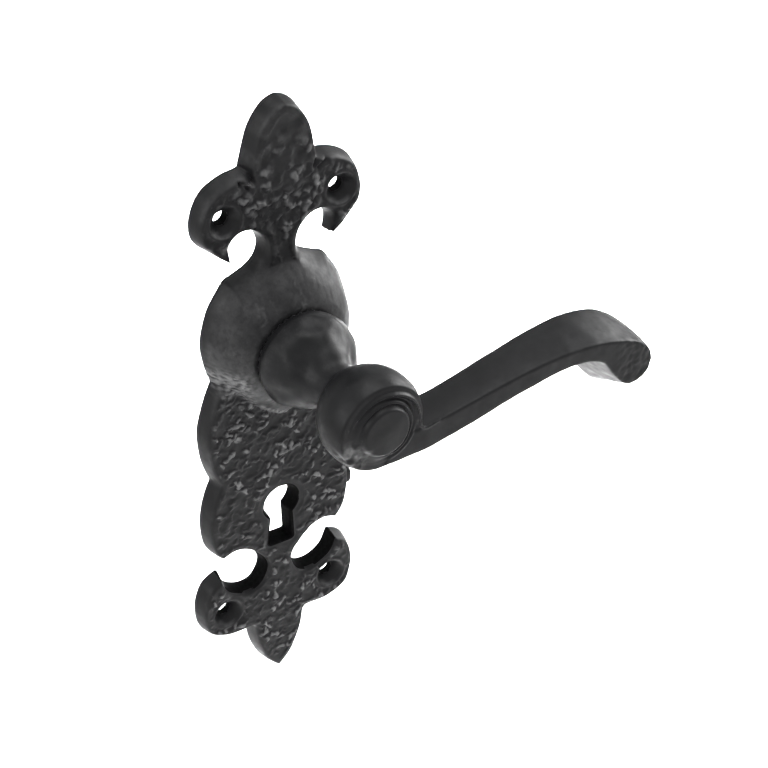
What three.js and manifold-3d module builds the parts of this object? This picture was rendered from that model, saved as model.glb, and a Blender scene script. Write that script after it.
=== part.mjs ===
// Cast-iron lever handle on a fleur-de-lis lock backplate, with its sprung bearing.
// Millimetres. +X is right, +Z is up, -Y points out of the door.
// The origin is on the spindle axis, in the plane of the door's face.

import * as THREE from 'three';
import { mergeVertices } from 'three/addons/utils/BufferGeometryUtils.js';
import Module from 'manifold-3d';

const wasm = await Module();
wasm.setup();

// ---------------------------------------------------------------- driving dimensions

const GAP = 0.3;                  // running clearance between neighbouring pieces
const OVERCUT = 1;                // a cutting tool reaches past the faces it cuts by this

// Backplate
const PLATE_DEPTH = 5.5;          // flat part of the backplate
const TOP_POINT_Z = 71.9;
const BOTTOM_POINT_Z = -122;
const PETAL_RISE = 1.3;           // the upper fleur's middle petal stands proud by this
const PETAL_EDGE = 0.9;           // and its edge is rounded over this
const PETAL_ROOT_DEPTH = 3;       // it is rooted this deep in the plate
const KEY_CENTRE_Z = -57;         // keyhole below the spindle: the lock's centre distance
const KEY_RADIUS = 5.3;
const KEY_NECK_HALF = 3;          // the keyhole's slot, from its neck to its foot
const KEY_FOOT_HALF = 3.8;
const KEY_FOOT_Z = -71.3;
const SCREW_X = 17.7;             // fixing holes, left and right of the centre line
const SCREW_ROWS_Z = [41.6, -91.8];
const SCREW_RADIUS = 2.25;
const SCREW_SINK_RADIUS = 4.5;
const SCREW_SINK_DEPTH = 2.4;
const GATE_STUB = { width: 2.4, height: 5.4, from: 1.4, to: 4.2, x: 22.9, z: -53 };

// Boss round the spindle
const SEAT_DEPTH = 13.6;          // the boss's flat seat, under the lever's bell
const SEAT_RADIUS = 13.6;
const BOSS_BASE_RADIUS = 22.4;
const BOSS_BASE_DEPTH = 3.2;
const BOSS_BASE_RISE = 1.8;       // the boss's foot is centred above the spindle axis
const BOSS_FLANK = [[21.8, 5.6], [20.7, 7.8], [18.9, 10.1], [16.7, 12.1], [15.2, 13]];  // [radius, depth]
const CAVITY_RADIUS = 14.2;       // recess for the spring, open at the back
const CAVITY_DEPTH = 10.2;

// Bearing, stops and spring
const BUSH_OUTER = 9.3;
const BUSH_FLANGE_RADIUS = 11.4;
const BUSH_FLANGE_DEPTH = 8.9;
const BUSH_RECESS = 0.2;          // the bush ends this far below the seat
const WASHER_THICKNESS = 0.5;
const WASHER_TEETH = 36;
const WASHER_TIP_RADIUS = 13.1;
const WASHER_ROOT_RADIUS = 12.5;
const PIN_CIRCLE_RADIUS = 12.6;   // the stop and anchor pins stand on this circle
const PIN_RADIUS = 1.2;
const PIN_SOCKET_DEPTH = 2;
const WIRE_RADIUS = 0.5;
const COIL_RADIUS = 10.1;
const COIL_TURNS = 3;
const COIL_START_DEPTH = 8.1;
const COIL_END_DEPTH = 4.85;
const COIL_RUN_IN = 7;            // degrees in which a leg bends into the coil
const LEG_RADII = [13.6, 12.4, 11.2];
const DRIVE_FROM = 2.5;
const DRIVE_TO = 4;
const DRIVE_RADIUS = 10.4;
const ARM_RADIUS = 11.8;          // middle of the drive plate's lug and tab
const ARM_REACH = 4;
const LUG_WIDTH = 4.4;
const TAB_WIDTH = 3;
const TAB_RADIUS = 13.1;          // the tab is bent forwards here, behind the spring's leg
const TAB_THICKNESS = 1.4;
const TAB_DEPTH = 8.4;
const CLIP_FROM = 1.2;
const CLIP_TO = 2.2;
const CLIP_OUTER = 9.4;
const CLIP_GROOVE = 0.65;         // depth of the clip's groove in the shank
const CLIP_EAR = { radius: 1.6, eye: 0.8, x: 2.6, z: -9.5 };
const CLIP_MOUTH = 2.4;

// Angles on the pin circle, from +X towards +Z
const LEVER_TRAVEL_DEG = 40;
const LUG_ANGLE = 90;
const TAB_ANGLE = 270;
const LEG_A_ANGLE = 150;

// Lever
const SHANK_RADIUS = 7.5;         // lever's journal through the boss
const SHANK_FLATS = 12;           // across the flats of the tail
const SHANK_FLATS_DEPTH = 4.4;    // the tail is round in front of this
const SHANK_END_DEPTH = 0.3;
const SPINDLE_SIDE = 8;
const SPINDLE_CHAMFER = 0.8;
const SOCKET_DEPTH = 27;
const SPINDLE_TAIL = 20;          // reaches the middle of a 40 mm door
const BELL_FOOT_DEPTH = SEAT_DEPTH + 2 * GAP + WASHER_THICKNESS;
const NECK_RADIUS = 6.2;
const NECK_DEPTH = 34.4;
const NECK_FILLET = 1.6;          // depth between the neck's end and the ball
const BELL_PROFILE = [            // [radius, depth]
  [13.2, BELL_FOOT_DEPTH], [13.8, 17], [13.7, 20], [12.7, 23], [10.8, 26], [8.4, 28.8],
  [6.8, 31.4], [NECK_RADIUS, NECK_DEPTH],
];
const BALL_DEPTH = 48.5;
const BALL_RADIUS = 14;
const FACE_DEPTH = 55.2;          // front of the ball, cut flat
const FACE_CHAMFER = 0.6;         // depth over which the ball runs into its flat front
const FACE_STEPS = [              // [radius, depth in front of the face]: a ring round a disc
  [10.5, 0], [9.4, 0], [8.9, -0.5], [8.6, 0.8], [8.1, 1.2], [7.4, 1], [7.2, 2], [6.7, 2.3], [0, 2.3],
];

// The right half of the plate's outline, from the top point to the bottom one. Each row is one
// smooth stretch, which ends at a corner or where the next stretch takes over.
const HALF_OUTLINE = [
  [[0, TOP_POINT_Z], [4, 70.2], [8, 64.8], [10.1, 57.6], [11, 53.4]],                // top petal
  [[11, 53.4], [17, 52.2], [22.7, 48.6], [25.5, 41.5], [24.4, 35], [18.4, 29.8]],  // upper side petal
  [[18.4, 29.8], [15.3, 27.4]],                                                    // its cut end
  [[15.3, 27.4], [15.8, 32], [13.8, 35.1], [10.3, 35.6], [6.6, 33.2], [5.3, 28.6],
    [8, 23.9], [15.6, 20.4]],                                                      // upper notch
  [[15.6, 20.4], [20.5, 12.7], [22.8, 3], [21.6, -5.4], [19.9, -10.5]],            // round the boss
  [[19.9, -10.5], [22.6, -18], [24.3, -26.5], [23.3, -36], [20.6, -44]],           // middle lobe
  [[20.6, -44], [23, -51], [23.9, -59], [22.6, -67], [19.3, -71.8]],               // keyhole lobe
  [[19.3, -71.8], [14.6, -70.2], [8.8, -73], [4.9, -79], [7.2, -84.8], [12, -85.8],
    [16.8, -83], [18.9, -77.9]],                                                   // lower notch
  [[18.9, -77.9], [24, -81], [26.2, -89], [24.2, -97.8], [17, -101.3], [9.3, -101.3]],  // lower side petal
  [[9.3, -101.3], [7.9, -109.5], [4.6, -117], [0, BOTTOM_POINT_Z]],                // bottom petal
];

// The arm is a bar between four edges. Each row is one station from the hub to the tip of
// the curl: [front top], [front bottom], [rear top], [rear bottom] as [x, z], and the rear depth.
const ARM_FRONT_DEPTH = 55;
const ARM_STATIONS = [
  [[5, -4.4], [1, -12.6], [5, -4.4], [1, -11], 42],
  [[15, -4.1], [13.5, -12], [15.5, -4.3], [13.5, -11.2], 42],
  [[28, -1.9], [27, -9.5], [28, -2], [27, -9.2], 42],
  [[42, 0.6], [43, -5.6], [41.5, 1], [43, -5.5], 41.4],
  [[55, 2.2], [57.3, -3.1], [54, 3.5], [57.5, -2.8], 40.7],
  [[67, 2.2], [66.5, -2.9], [67, 4.7], [66.5, -3.3], 39.9],
  [[77.5, 0.4], [72.5, -4.9], [79.5, 2.5], [70.5, -7.6], 39.5],
  [[86.2, -2.9], [75.6, -8.2], [89.5, -4.5], [73.5, -12.8], 39.5],
  [[90.6, -8.2], [78.3, -11.7], [95, -11.5], [77.5, -17.7], 39.5],
  [[89.7, -13.4], [80.8, -14.4], [95, -18.5], [81.5, -21.8], 39.5],
  [[86.6, -15.7], [83.8, -16], [91, -23.6], [86, -24.4], 39.5],
];

// ---------------------------------------------------------------- materials

const iron = { color: 0x25262a, roughness: 0.5, metalness: 0.35 };
const steel = { color: 0xb9bcc0, roughness: 0.35, metalness: 0.9 };
const springSteel = { color: 0x8b8e93, roughness: 0.3, metalness: 0.9 };
const nylon = { color: 0xe6e2d8, roughness: 0.55, metalness: 0 };

// ---------------------------------------------------------------- solid helpers

function toSolid(geometry) {
  const plain = geometry.clone();
  plain.deleteAttribute('normal');
  plain.deleteAttribute('uv');
  const merged = mergeVertices(plain, 1e-4);
  return new wasm.Manifold(new wasm.Mesh({
    numProp: 3,
    vertProperties: new Float32Array(merged.attributes.position.array),
    triVerts: new Uint32Array(merged.index.array),
  }));
}

function toGeometry(solid) {
  const mesh = solid.getMesh();
  const geometry = new THREE.BufferGeometry();
  geometry.setAttribute('position', new THREE.BufferAttribute(mesh.vertProperties, 3));
  geometry.setIndex(new THREE.BufferAttribute(mesh.triVerts, 1));
  geometry.computeVertexNormals();
  return geometry;
}

function piece(name, solid, finish) {
  const mesh = new THREE.Mesh(toGeometry(solid), new THREE.MeshStandardMaterial(finish));
  mesh.name = name;
  return mesh;
}

// A shape drawn in the XZ plane, extruded from depth `from` to depth `to` (towards -Y).
function slab(shape, from, to, options = {}) {
  const geometry = new THREE.ExtrudeGeometry(shape, {
    depth: to - from, bevelEnabled: false, curveSegments: 12, ...options,
  });
  geometry.translate(0, 0, from);
  geometry.rotateX(Math.PI / 2);
  return toSolid(geometry);
}

// Extrude settings that bevel both ends inside the drawn shape.
function bevel(size, segments) {
  return {
    bevelEnabled: true, bevelThickness: size, bevelSize: size, bevelOffset: -size, bevelSegments: segments,
  };
}

// A round solid about the Y axis. The profile is a list of [radius, depth], which goes
// from the door outwards, and starts and ends on the axis.
function turned(profile, segments = 40) {
  const points = profile.map(([radius, depth]) => new THREE.Vector2(radius, -depth));
  return toSolid(new THREE.LatheGeometry(points.reverse(), segments));
}

function cylinder(radius, from, to, segments = 40) {
  return turned([[0, from], [radius, from], [radius, to], [0, to]], segments);
}

function ring(inner, outer, from, to, segments = 40) {
  return cylinder(outer, from, to, segments).subtract(cylinder(inner, from - 1, to + 1, segments));
}

function block(width, height, from, to, x = 0, z = 0) {
  const geometry = new THREE.BoxGeometry(width, to - from, height);
  geometry.translate(x, -(from + to) / 2, z);
  return toSolid(geometry);
}

// A point at an angle from +X towards +Z on a circle about the spindle axis.
function polar(radius, degrees) {
  const angle = THREE.MathUtils.degToRad(degrees);
  return [radius * Math.cos(angle), radius * Math.sin(angle)];
}

// ---------------------------------------------------------------- backplate outline

function plateShape() {
  const half = [];
  for (const stretch of HALF_OUTLINE) {
    const curve = new THREE.SplineCurve(stretch.map(([x, z]) => new THREE.Vector2(x, z)));
    const steps = (stretch.length - 1) * 3;
    half.push(...curve.getPoints(steps).slice(0, -1));
  }
  const last = new THREE.Vector2(0, BOTTOM_POINT_Z);
  const mirrored = half.slice(1).reverse().map((p) => new THREE.Vector2(-p.x, p.y));
  return new THREE.Shape([...half, last, ...mirrored]);
}

// The middle petal of the upper fleur stands a little proud of the side petals.
function raisedPetalShape() {
  const shape = new THREE.Shape();
  shape.moveTo(0, 70.4);
  shape.bezierCurveTo(6, 67.5, 9.5, 60, 9.4, 51.4);
  shape.bezierCurveTo(9.2, 46, 5, 42, 0, 41);
  shape.bezierCurveTo(-5, 42, -9.2, 46, -9.4, 51.4);
  shape.bezierCurveTo(-9.5, 60, -6, 67.5, 0, 70.4);
  return shape;
}

function keyholeShape() {
  const shape = new THREE.Shape();
  const meet = -Math.PI / 2 - Math.asin(KEY_NECK_HALF / KEY_RADIUS);
  shape.moveTo(-KEY_FOOT_HALF, KEY_FOOT_Z);
  shape.lineTo(KEY_FOOT_HALF, KEY_FOOT_Z);
  shape.lineTo(KEY_NECK_HALF, KEY_CENTRE_Z + KEY_RADIUS * Math.sin(meet));
  shape.absarc(0, KEY_CENTRE_Z, KEY_RADIUS, -Math.PI - meet, meet, false);
  shape.lineTo(-KEY_FOOT_HALF, KEY_FOOT_Z);
  return shape;
}

// ---------------------------------------------------------------- backplate

// A convex boss whose foot is centred a little above its seat.
function boss() {
  const solid = turned([
    [0, BOSS_BASE_DEPTH], [BOSS_BASE_RADIUS, BOSS_BASE_DEPTH], ...BOSS_FLANK,
    [SEAT_RADIUS, SEAT_DEPTH], [0, SEAT_DEPTH],
  ], 64);
  return solid.warp((point) => {
    const rise = (SEAT_DEPTH + point[1]) / (SEAT_DEPTH - BOSS_BASE_DEPTH);
    point[2] += BOSS_BASE_RISE * rise;
  });
}

function screwHole(x, z) {
  const mouth = PLATE_DEPTH - SCREW_SINK_DEPTH;
  const hole = turned([
    [0, -OVERCUT], [SCREW_RADIUS, -OVERCUT], [SCREW_RADIUS, mouth], [SCREW_SINK_RADIUS, PLATE_DEPTH],
    [SCREW_SINK_RADIUS, PLATE_DEPTH + OVERCUT], [0, PLATE_DEPTH + OVERCUT],
  ], 24);
  return hole.translate([x, 0, z]);
}

function pinSocket([x, z]) {
  const end = CAVITY_DEPTH + PIN_SOCKET_DEPTH + GAP;
  const hole = cylinder(PIN_RADIUS + GAP, CAVITY_DEPTH - OVERCUT, end, 16);
  return hole.translate([x, 0, z]);
}

function backplate() {
  const petalTop = PLATE_DEPTH + PETAL_RISE - PETAL_EDGE;
  const stub = GATE_STUB;                                       // left by the casting gate
  let solid = slab(plateShape(), 0, PLATE_DEPTH);
  solid = solid.add(slab(raisedPetalShape(), PETAL_ROOT_DEPTH, petalTop, bevel(PETAL_EDGE, 2)));
  solid = solid.add(boss());
  solid = solid.add(block(stub.width, stub.height, stub.from, stub.to, stub.x, stub.z));

  solid = solid.subtract(slab(keyholeShape(), -OVERCUT, PLATE_DEPTH + OVERCUT));
  for (const z of SCREW_ROWS_Z) {
    solid = solid.subtract(screwHole(SCREW_X, z)).subtract(screwHole(-SCREW_X, z));
  }
  solid = solid.subtract(cylinder(BUSH_OUTER + GAP, -OVERCUT, SEAT_DEPTH + OVERCUT));
  solid = solid.subtract(cylinder(CAVITY_RADIUS, -OVERCUT, CAVITY_DEPTH));
  for (const place of [REST_PIN, LIMIT_PIN, ANCHOR_PIN]) {
    solid = solid.subtract(pinSocket(place));
  }
  return solid;
}

// ---------------------------------------------------------------- bearing and spring

// The angle between a lug's middle and a pin it nearly touches, on the pin circle.
function clearAngle(halfLug, otherRadius) {
  return THREE.MathUtils.radToDeg((halfLug + otherRadius + GAP) / PIN_CIRCLE_RADIUS);
}

const LEG_B_ANGLE = TAB_ANGLE - clearAngle(TAB_WIDTH / 2, WIRE_RADIUS);
const STOP_ANGLE = clearAngle(LUG_WIDTH / 2, PIN_RADIUS);
const REST_PIN = polar(PIN_CIRCLE_RADIUS, LUG_ANGLE + STOP_ANGLE);
const LIMIT_PIN = polar(PIN_CIRCLE_RADIUS, LUG_ANGLE - LEVER_TRAVEL_DEG - STOP_ANGLE);
const ANCHOR_PIN = polar(PIN_CIRCLE_RADIUS, LEG_A_ANGLE - clearAngle(WIRE_RADIUS, PIN_RADIUS));

function bush() {
  const outside = turned([
    [0, BUSH_FLANGE_DEPTH], [BUSH_FLANGE_RADIUS, BUSH_FLANGE_DEPTH],
    [BUSH_FLANGE_RADIUS, CAVITY_DEPTH - GAP], [BUSH_OUTER, CAVITY_DEPTH - GAP],
    [BUSH_OUTER, SEAT_DEPTH - BUSH_RECESS], [0, SEAT_DEPTH - BUSH_RECESS],
  ]);
  return outside.subtract(cylinder(SHANK_RADIUS + GAP, 0, SEAT_DEPTH));
}

// A toothed washer, which shows as a fine dark line under the bell.
function thrustWasher() {
  const shape = new THREE.Shape();
  for (let i = 0; i < WASHER_TEETH * 2; i += 1) {
    const [x, z] = polar(i % 2 ? WASHER_ROOT_RADIUS : WASHER_TIP_RADIUS, (i * 180) / WASHER_TEETH);
    if (i === 0) shape.moveTo(x, z);
    else shape.lineTo(x, z);
  }
  shape.closePath();
  const front = SEAT_DEPTH + GAP + WASHER_THICKNESS;
  return slab(shape, SEAT_DEPTH + GAP, front).subtract(cylinder(SHANK_RADIUS + GAP, 0, front + OVERCUT));
}

function returnSpring() {
  const sweep = LEG_A_ANGLE - (LEG_B_ANGLE - 360 * COIL_TURNS);
  const points = [];
  const add = (radius, degrees, depth) => {
    const [x, z] = polar(radius, degrees);
    points.push(new THREE.Vector3(x, -depth, z));
  };
  for (const radius of LEG_RADII) add(radius, LEG_A_ANGLE, COIL_START_DEPTH);
  const steps = 14 * COIL_TURNS;
  for (let i = 0; i <= steps; i += 1) {
    const along = i / steps;
    const degrees = LEG_A_ANGLE - COIL_RUN_IN - along * (sweep - 2 * COIL_RUN_IN);
    add(COIL_RADIUS, degrees, THREE.MathUtils.lerp(COIL_START_DEPTH, COIL_END_DEPTH, along));
  }
  for (const radius of [...LEG_RADII].reverse()) add(radius, LEG_B_ANGLE, COIL_END_DEPTH);

  const section = new THREE.Shape();
  section.absarc(0, 0, WIRE_RADIUS, 0, 2 * Math.PI);
  const geometry = new THREE.ExtrudeGeometry(section, {
    extrudePath: new THREE.CatmullRomCurve3(points), steps: 2 * steps, curveSegments: 4, bevelEnabled: false,
  });
  return toSolid(geometry);
}

function tailHole(clearance) {
  return cylinder(SHANK_RADIUS + clearance, 0, 2 * DRIVE_TO)
    .intersect(block(SHANK_FLATS + 2 * clearance, 4 * SHANK_RADIUS, 0, 2 * DRIVE_TO));
}

function drivePlate() {
  const lug = block(LUG_WIDTH, ARM_REACH, DRIVE_FROM, DRIVE_TO, 0, ARM_RADIUS);
  const arm = block(TAB_WIDTH, ARM_REACH, DRIVE_FROM, DRIVE_TO, 0, -ARM_RADIUS);
  const tab = block(TAB_WIDTH, TAB_THICKNESS, DRIVE_FROM, TAB_DEPTH, 0, -TAB_RADIUS);
  return cylinder(DRIVE_RADIUS, DRIVE_FROM, DRIVE_TO).add(lug).add(arm).add(tab).subtract(tailHole(GAP));
}

function circlip() {
  const body = ring(SHANK_RADIUS - CLIP_GROOVE + GAP, CLIP_OUTER, CLIP_FROM, CLIP_TO);
  const ear = cylinder(CLIP_EAR.radius, CLIP_FROM, CLIP_TO, 20);
  const eye = cylinder(CLIP_EAR.eye, 0, CLIP_TO + OVERCUT, 16);
  const left = [-CLIP_EAR.x, 0, CLIP_EAR.z];
  const right = [CLIP_EAR.x, 0, CLIP_EAR.z];
  return body.add(ear.translate(left)).add(ear.translate(right))
    .subtract(block(CLIP_MOUTH, CLIP_OUTER, 0, CLIP_TO + OVERCUT, 0, -CLIP_OUTER))
    .subtract(eye.translate(left)).subtract(eye.translate(right));
}

function pin([x, z], endDepth) {
  return cylinder(PIN_RADIUS, endDepth, CAVITY_DEPTH + PIN_SOCKET_DEPTH, 20).translate([x, 0, z]);
}

function spindle() {
  const shape = new THREE.Shape();
  const half = SPINDLE_SIDE / 2;
  shape.moveTo(-half, -half);
  shape.lineTo(half, -half);
  shape.lineTo(half, half);
  shape.lineTo(-half, half);
  shape.closePath();
  const from = SPINDLE_CHAMFER - SPINDLE_TAIL;
  const to = SOCKET_DEPTH - GAP - SPINDLE_CHAMFER;
  return slab(shape, from, to, bevel(SPINDLE_CHAMFER, 1));
}

// ---------------------------------------------------------------- lever

// Points of an arc about [radius, depth], from one angle to another; 90 degrees is outwards.
function arc([radius, depth], size, fromDeg, toDeg, steps) {
  const points = [];
  for (let i = 0; i <= steps; i += 1) {
    const [across, out] = polar(size, THREE.MathUtils.lerp(fromDeg, toDeg, i / steps));
    points.push([radius + across, depth + out]);
  }
  return points;
}

// Bell, neck, ball and stepped face, turned in one profile.
function hub() {
  const bell = new THREE.SplineCurve(BELL_PROFILE.map(([radius, depth]) => new THREE.Vector2(radius, depth)));
  const bellPoints = bell.getPoints(12).map((point) => [point.x, point.y]);
  const start = THREE.MathUtils.radToDeg(Math.asin((NECK_DEPTH + NECK_FILLET - BALL_DEPTH) / BALL_RADIUS));
  const end = THREE.MathUtils.radToDeg(Math.asin((FACE_DEPTH - FACE_CHAMFER - BALL_DEPTH) / BALL_RADIUS));
  return turned([
    [0, BELL_FOOT_DEPTH], ...bellPoints, ...arc([0, BALL_DEPTH], BALL_RADIUS, start, end, 10),
    ...FACE_STEPS.map(([radius, rise]) => [radius, FACE_DEPTH + rise]),
  ]);
}

function armRail(edge) {
  return new THREE.CatmullRomCurve3(ARM_STATIONS.map((station) => {
    const [x, z] = station[edge];
    const depth = edge < 2 ? ARM_FRONT_DEPTH : station[4];
    return new THREE.Vector3(x, -depth, z);
  }));
}

// A straight bar of rounded section, crowned on top, is bent so that its corners follow the edges.
function arm() {
  const section = new THREE.Shape();
  section.moveTo(-1, -0.7);
  section.quadraticCurveTo(-1, -1, -0.85, -1);
  section.lineTo(0.85, -1);
  section.quadraticCurveTo(1, -1, 1, -0.7);
  section.lineTo(1, 0.55);
  section.quadraticCurveTo(1, 0.95, 0.8, 1.02);
  section.quadraticCurveTo(0, 1.2, -0.8, 1.02);
  section.quadraticCurveTo(-1, 0.95, -1, 0.55);
  section.closePath();
  const geometry = new THREE.ExtrudeGeometry(section, {
    depth: 1, steps: 30, curveSegments: 3, bevelEnabled: false,
  });
  const [frontTop, frontBottom, rearTop, rearBottom] = [0, 1, 2, 3].map(armRail);
  const position = geometry.attributes.position;
  const vertex = new THREE.Vector3();
  for (let i = 0; i < position.count; i += 1) {
    vertex.fromBufferAttribute(position, i);
    const along = THREE.MathUtils.clamp(vertex.z, 0, 1);
    const back = (vertex.x + 1) / 2;
    const top = (vertex.y + 1) / 2;
    const lower = frontBottom.getPoint(along).lerp(rearBottom.getPoint(along), back);
    const upper = frontTop.getPoint(along).lerp(rearTop.getPoint(along), back);
    const place = lower.add(upper.sub(lower).multiplyScalar(top));
    position.setXYZ(i, place.x, place.y, place.z);
  }
  return toSolid(geometry);
}

function leverHandle() {
  const journal = cylinder(SHANK_RADIUS, SHANK_FLATS_DEPTH, BELL_FOOT_DEPTH + OVERCUT);
  const tail = cylinder(SHANK_RADIUS, SHANK_END_DEPTH, SHANK_FLATS_DEPTH + OVERCUT)
    .intersect(block(SHANK_FLATS, 4 * SHANK_RADIUS, 0, SHANK_FLATS_DEPTH + OVERCUT));
  const groove = ring(SHANK_RADIUS - CLIP_GROOVE, CLIP_OUTER, CLIP_FROM - GAP / 2, CLIP_TO + GAP / 2);
  const side = SPINDLE_SIDE + 2 * GAP;
  const socket = block(side, side, -OVERCUT, SOCKET_DEPTH);
  return hub().add(arm()).add(journal).add(tail).subtract(groove).subtract(socket);
}

// ---------------------------------------------------------------- assembly

const fixed = new THREE.Group();
fixed.add(
  piece('backplate', backplate(), iron),
  piece('bearing_bush', bush(), nylon),
  piece('thrust_washer', thrustWasher(), steel),
  piece('rest_stop_pin', pin(REST_PIN, DRIVE_FROM), steel),
  piece('travel_stop_pin', pin(LIMIT_PIN, DRIVE_FROM), steel),
  piece('spring_anchor_pin', pin(ANCHOR_PIN, COIL_START_DEPTH - 2), steel),
  piece('return_spring', returnSpring(), springSteel),
);

const turning = new THREE.Group();
turning.add(
  piece('lever_handle', leverHandle(), iron),
  piece('drive_plate', drivePlate(), steel),
  piece('circlip', circlip(), springSteel),
  piece('spindle', spindle(), steel),
);

const group = new THREE.Group();
group.add(fixed, turning);

export default group;
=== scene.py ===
"""Looks of a black cast-iron lever handle on a hammered fleur-de-lis lock backplate.

The plate's casting is a height field on the CAD plate's outline, with walls behind it. The
lever's casting is turned and lofted, remeshed into one skin and softened. Both have their cast
surface as real relief. Lengths are millimetres, which MM turns to metres. The floor, the lights and
the camera are placed in metres. Depth is the distance out of the door, towards -Y.
"""

import math
import random

import bmesh
import bpy
import numpy as np
from mathutils import Matrix, Vector, geometry, kdtree, noise


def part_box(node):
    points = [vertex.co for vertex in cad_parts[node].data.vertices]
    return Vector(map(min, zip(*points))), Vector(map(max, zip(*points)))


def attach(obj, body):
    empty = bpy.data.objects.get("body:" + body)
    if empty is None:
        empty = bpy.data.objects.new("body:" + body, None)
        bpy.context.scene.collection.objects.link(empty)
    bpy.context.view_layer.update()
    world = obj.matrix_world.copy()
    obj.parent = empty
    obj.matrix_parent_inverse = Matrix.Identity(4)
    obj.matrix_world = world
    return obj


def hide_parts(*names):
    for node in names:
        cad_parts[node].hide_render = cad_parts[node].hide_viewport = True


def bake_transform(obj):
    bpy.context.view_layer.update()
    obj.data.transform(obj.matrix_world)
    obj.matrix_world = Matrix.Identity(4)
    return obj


MM = 0.001
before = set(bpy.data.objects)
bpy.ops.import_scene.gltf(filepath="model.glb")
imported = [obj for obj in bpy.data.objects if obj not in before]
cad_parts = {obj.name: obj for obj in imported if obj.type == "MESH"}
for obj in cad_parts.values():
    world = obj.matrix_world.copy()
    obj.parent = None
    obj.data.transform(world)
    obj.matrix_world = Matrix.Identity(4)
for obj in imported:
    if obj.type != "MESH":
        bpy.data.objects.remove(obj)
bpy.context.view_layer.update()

# ---------------------------------------------------------------- driving dimensions

PLATE_DEPTH = 5.5              # flat front of the backplate
PETAL_RISE = 0.9               # the upper fleur's middle petal swells by this
WALL_FOOT = 1                  # the walls lean inwards from this depth,
DRAFT = 0.9                    # by this much at the front,
EDGE_BLEND = 3                 # where they round over into it
EDGE_RINGS = (0.07, 0.22, 0.42, 0.65, 0.9, 1.2, 1.55, 1.95, 2.4)  # rows of points inside an edge
GRID = 0.3                     # spacing of the points on the rest of the front
LOOP_STEP = 0.32               # spacing of the points along the outline
KEY_CENTRE_Z = -57
SCREWS = [(x, z) for x in (-17.7, 17.7) for z in (41.6, -91.8)]
SCREW_RADIUS = 2.25
SCREW_SINK_RADIUS = 4.5
SCREW_SINK_DEPTH = 2.2
SEAT_DEPTH = 13.6              # flat seat on the boss, under the lever's bell
# The boss's section as (radius, depth).
BOSS_PROFILE = [(12.6, 13.6), (13.6, 13.6), (15.2, 13), (16.7, 12.1), (18.9, 10.1), (20.7, 7.8),
                (21.8, 5.6), (22.4, 3.2), (24, -3)]
BOSS_RADIUS = 22.4
BOSS_RISE = 1.8                # the boss's foot is centred this far above the seat
# The foot's radius below its centre, as (distance to the side, radius).
BOSS_FOOT = [(0, 26.3), (2.2, 25.8), (11.4, 21.2), (14.1, 20.2), (18.7, 21.6), (22.4, 22.4)]
BORE_RADIUS = 9.6
CAVITY_RADIUS = 14.2
CAVITY_DEPTH = 10.2
PINS = ("rest_stop_pin", "travel_stop_pin", "spring_anchor_pin")
PIN_RADIUS = 1.2
SOCKET_SINK = 2.3              # the pins' sockets go this far past the cavity's floor
RECESS_REACH = 0.92            # a wall's face has no point further in than this
EDGE_LUMP_PLACE = (23.2, 3.8, -57.3)
EDGE_LUMP_HALF = (1.4, 1.4, 2.6)

BELL_FOOT_DEPTH = 14.7
# The bell's section as (radius, depth), from its foot to the neck.
BELL_PROFILE = [(13.2, BELL_FOOT_DEPTH), (13.8, 17), (13.7, 20), (12.7, 23), (10.8, 26), (8.4, 28.8),
                (6.8, 31.4)]
NECK_RADIUS = 6.2
NECK_DEPTH = 34.4
BALL_DEPTH = 48.5
BALL_RADIUS = 14
FACE_DEPTH = 55.2              # front of the ball, cut flat
# How far the face stands past that, as (radius, height): where its steps are crisp, and faded.
FACE_STEPS = [(0, 2.2), (6.5, 2.15), (6.9, 1.95), (7.2, 1.3), (7.5, 0.55), (7.8, 0.7), (8.2, 1.1),
              (8.6, 1.05), (8.9, 0.6), (9.3, 0), (9.7, 0), (10.2, 0.3), (10.6, 0.2), (11, 0), (12, 0)]
FADED_STEPS = [(0, 2.2), (6.5, 2.15), (6.9, 1.95), (7.3, 1.4), (7.7, 0.9), (8.3, 0.7), (9, 0.45),
               (10, 0.15), (11, 0), (12, 0)]
FADE_ANGLE = 215               # the steps fade towards here, at the lower left
ROUGH_PATCH_CENTRE = (-9.8, -55.5, -6.2)
SHANK_RADIUS = 7.5
SHANK_FLATS = 12               # across the flats,
FLATS_DEPTH = 4.4              # which reach this far up the shank
SHANK_END_DEPTH = 0.3
SHANK_TOP_DEPTH = 18           # inside the bell
SOCKET_SIDE = 8.6
SOCKET_DEPTH = 27
CLIP_GROOVE = (1.05, 2.35)     # depths of the groove's two sides
CLIP_GROOVE_SINK = 0.65

LEVER_VOXEL = 0.38

SPRING_WIRE_RADIUS = 0.5
SPRING_COIL_RADIUS = 10.1
SPRING_TURNS = 3
SPRING_COIL_STEPS = 120
FIXED_LEG_ANGLE = 150
MOVING_LEG_ANGLE = 259.5
LEG_BEND = 7                   # degrees between a leg and its end of the coil
LEG_RADII = (13.6, 12.4, 11.2)

EDGE_BREAK = 0.15              # on the pieces of the bearing
EDGE_BREAK_ANGLE = math.radians(35)

# The view, as fitted to the photograph: the direction back to the camera, and its place.
CAMERA_AZIMUTH = -35.23
CAMERA_ELEVATION = 35.05
CAMERA_ROLL = 2.44
CAMERA_LENS = 96.9
CAMERA_PLACE = (-0.2466, -0.4035, 0.3138)


# ---------------------------------------------------------------- mesh helpers

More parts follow.
